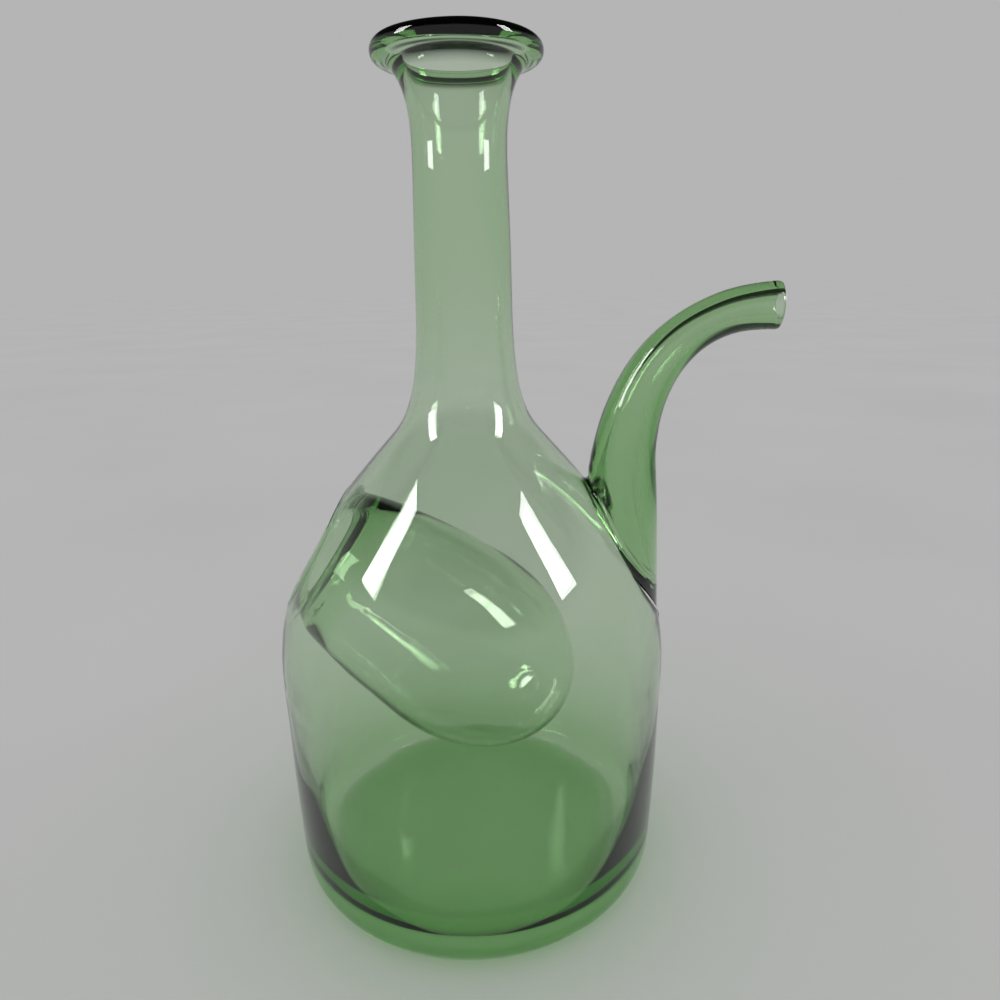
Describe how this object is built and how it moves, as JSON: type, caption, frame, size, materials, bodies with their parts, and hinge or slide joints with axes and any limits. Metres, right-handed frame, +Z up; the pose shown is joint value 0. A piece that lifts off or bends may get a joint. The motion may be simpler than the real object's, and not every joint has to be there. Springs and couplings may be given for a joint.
{
  "type": "wine decanter",
  "caption": "Hand-blown green glass wine decanter with a tall flared neck, an ice pocket let into the shoulder and a curved pouring spout opposite.",
  "frame": {"origin": "middle of the flat base, on the vessel's axis", "axes": "+Z up along the vessel's axis to the mouth, +X to the pouring spout, -X to the ice pocket's mouth"},
  "size_m": [0.2051, 0.1672, 0.34],
  "materials": {
    "vessel": "clear pale green hand-blown glass, fire-polished",
    "lip_wrap": "deep green solid glass bead, fire-polished",
    "ice_pocket": "thin clear green blown glass with a thick deep green collar",
    "pouring_spout": "clear green drawn tube, fire-polished"
  },
  "bodies": {
    "root": {"vessel": "vessel", "lip_wrap": "lip_wrap", "ice_pocket": "ice_pocket", "pouring_spout": "pouring_spout"}
  },
  "joints": []
}
